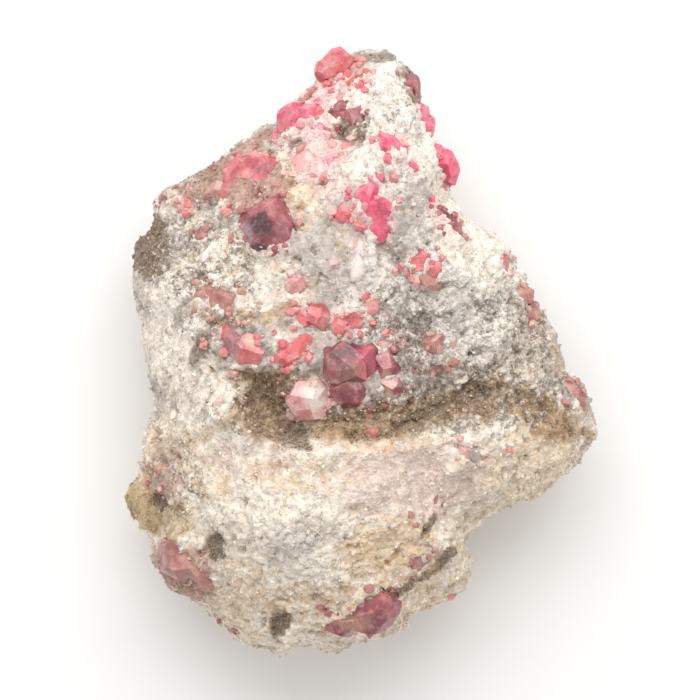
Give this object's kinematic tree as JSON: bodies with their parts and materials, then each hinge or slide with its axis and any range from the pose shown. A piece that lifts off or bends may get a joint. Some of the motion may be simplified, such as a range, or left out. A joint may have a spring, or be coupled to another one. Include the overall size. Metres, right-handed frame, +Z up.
{
  "type": "garnet on matrix",
  "caption": "Loose mineral specimen: pink to wine red garnet crystals on a rough piece of white and grey marble.",
  "frame": {"origin": "centre of the specimen's box in plan, on the surface that it rests on", "axes": "+Y towards the pointed end, +Z up from the flat underside, +X towards the wide wing"},
  "size_m": [0.0714, 0.0922, 0.0373],
  "materials": {
    "marble": "rough, sugary",
    "calcite": "smooth, waxy",
    "garnet_coral": "vitreous",
    "garnet_hot": "vitreous",
    "garnet_rose": "vitreous",
    "garnet_light": "frosted",
    "garnet_mauve": "dull vitreous",
    "garnet_wine": "vitreous"
  },
  "bodies": {
    "root": {"matrix": "marble", "calcite_ridge": "calcite", "calcite_window": "calcite", "calcite_spar": "calcite", "calcite_point": "calcite", "garnet_point": "garnet_coral", "garnet_point_low": "garnet_coral", "garnet_point_right": "garnet_wine", "garnet_upper_pink": "garnet_hot", "garnet_hollow": "garnet_wine", "garnet_light": "garnet_light", "garnet_saddle": "garnet_hot", "garnet_red": "garnet_hot", "garnet_coral": "garnet_coral", "garnet_edge_high": "garnet_hot", "garnet_edge_rose": "garnet_hot", "garnet_ridge_side": "garnet_wine", "garnet_ridge_patch": "garnet_rose", "garnet_great": "garnet_wine", "garnet_crest": "garnet_rose", "garnet_crest_low": "garnet_rose", "garnet_far_left": "garnet_wine", "garnet_speck_left": "garnet_mauve", "garnet_shoulder": "garnet_mauve", "garnet_left": "garnet_rose", "garnet_centre_high": "garnet_light", "garnet_twelve_sided": "garnet_rose", "garnet_middle": "garnet_rose", "garnet_salmon": "garnet_coral", "garnet_cluster": "garnet_wine", "garnet_frosted": "garnet_light", "garnet_middle_right": "garnet_rose", "garnet_grey_side": "garnet_mauve", "garnet_right_high": "garnet_rose", "garnet_right_edge": "garnet_mauve", "garnet_wing": "garnet_mauve", "garnet_ring": "garnet_light", "garnet_knob": "garnet_mauve", "garnet_lower_left": "garnet_mauve", "garnet_bottom": "garnet_wine", "garnet_bottom_left": "garnet_wine", "garnet_lobe_right": "garnet_mauve"}
  },
  "joints": []
}
